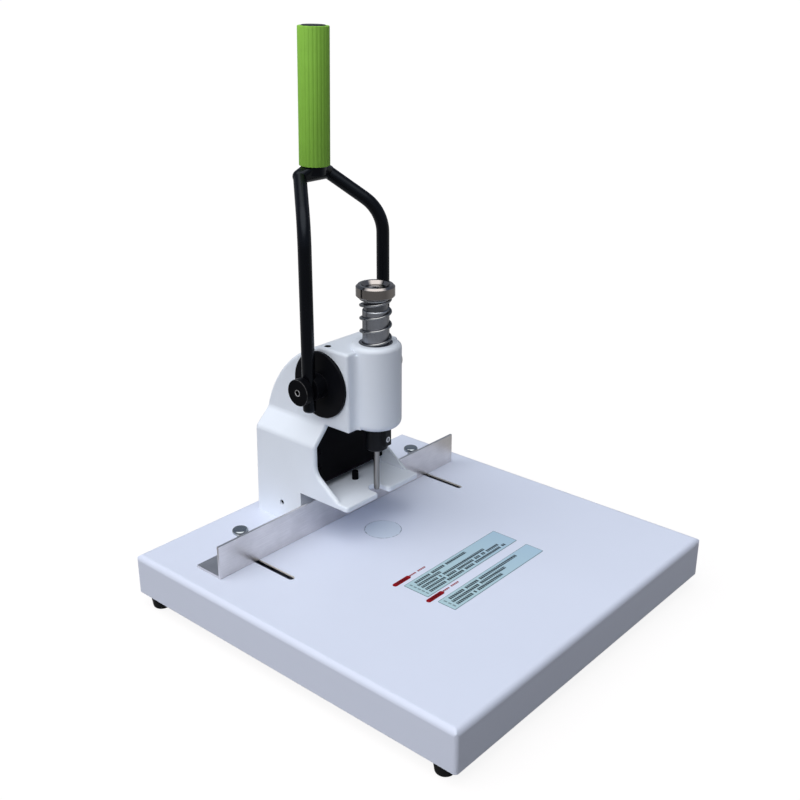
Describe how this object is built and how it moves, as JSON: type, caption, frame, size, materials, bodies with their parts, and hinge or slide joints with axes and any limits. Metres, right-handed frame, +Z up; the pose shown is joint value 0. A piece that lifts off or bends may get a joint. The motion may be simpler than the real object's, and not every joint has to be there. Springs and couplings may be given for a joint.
{
  "type": "paper drill",
  "caption": "Desk paper drill: square sheet-steel table, cast column, spring-returned hollow punch driven by a forked lever through a rack and pinion, sliding back fence.",
  "frame": {"origin": "on the surface that the feet stand on, under the middle of the table", "axes": "+Z up; +X to the operator's right; the operator stands at -Y and pulls the lever towards -Y"},
  "size_m": [0.4, 0.403, 0.5449],
  "materials": {
    "white_paint": "smooth satin powder coat",
    "black_paint": "smooth semi-gloss paint",
    "black_steel": "black oxide, satin",
    "chrome": "polished, turned",
    "bright_steel": "ground",
    "spring_steel": "dark oiled wire",
    "bronze": "sintered bronze",
    "aluminium": "brushed along its length",
    "green_grip": "matt ribbed rubber",
    "black_plastic": "matt moulded",
    "black_rubber": "matt moulded",
    "pad_plastic": "matt",
    "label_sheet": null,
    "red_tag": "printed film"
  },
  "bodies": {
    "root": {"base_tray": "white_paint", "bottom_cover": "white_paint", "corner_brackets": "white_paint", "foot_screws": "bright_steel", "foot_front_left": "black_rubber", "foot_front_right": "black_rubber", "foot_rear_left": "black_rubber", "foot_rear_right": "black_rubber", "anvil_plate": "bright_steel", "body_bolts": "black_steel", "body_casting": "white_paint", "throat_liner": "black_paint", "liner_screws": "black_steel", "liner_post": "black_paint", "top_grub_screws": "black_steel", "side_grub_screws": "black_steel", "upper_guide_bush": "bronze", "lower_guide_bush": "bronze", "pivot_bush_left": "bronze", "pivot_bush_right": "bronze", "return_spring": "spring_steel", "label_upper": "label_sheet", "label_lower": "label_sheet", "label_tags": "red_tag"},
    "pad": {"cutting_pad": "pad_plastic"},
    "plunger": {"plunger": "bright_steel", "spring_cap": "chrome", "cap_screw": "bright_steel", "punch_chuck": "black_steel", "punch": "bright_steel", "chuck_screw": "bright_steel"},
    "lever": {"lever_fork": "black_paint", "grip_sleeve": "green_grip", "grip_plug": "black_plastic", "pivot_shaft": "bright_steel", "drive_pinion": "bright_steel", "pinion_key": "bright_steel", "hub_left": "black_paint", "hub_right": "black_paint", "pivot_bolt_left": "black_steel", "pivot_bolt_right": "black_steel"},
    "fence": {"fence_angle": "aluminium", "fence_washers": "bright_steel", "clamp_nut_left": "bright_steel", "clamp_nut_right": "bright_steel"},
    "thumb_screw_left": {"thumb_screw_left": "chrome"},
    "thumb_screw_right": {"thumb_screw_right": "chrome"}
  },
  "joints": [
    {"name": "lever_swing", "type": "hinge", "parent": "root", "child": "lever", "pos_m": [0, 0.1008, 0.214], "axis": [1, 0, 0], "range_deg": [0, 89]},
    {"name": "plunger_slide", "type": "slide", "parent": "root", "child": "plunger", "axis": [0, 0, -1], "range_m": [0, 0.0435], "stiffness_N_per_m": 2000, "springref_m": -0.03, "deforming": ["return_spring"]},
    {"name": "fence_slide", "type": "slide", "parent": "root", "child": "fence", "axis": [0, 1, 0], "range_m": [-0.067, 0.012]},
    {"name": "thumb_screw_left_turn", "type": "hinge", "parent": "fence", "child": "thumb_screw_left", "pos_m": [-0.1285, 0.126, 0.085], "axis": [0, 0, 1], "range_deg": [0, 360]},
    {"name": "thumb_screw_right_turn", "type": "hinge", "parent": "fence", "child": "thumb_screw_right", "pos_m": [0.1285, 0.126, 0.085], "axis": [0, 0, 1], "range_deg": [0, 360]},
    {"name": "pad_turn", "type": "hinge", "parent": "root", "child": "pad", "pos_m": [0, 0.0535, 0.055], "axis": [0, 0, 1], "continuous": true}
  ],
  "couplings": [
    {"joint": "plunger_slide", "follows": "lever_swing", "m_per_rad": 0.028}
  ]
}
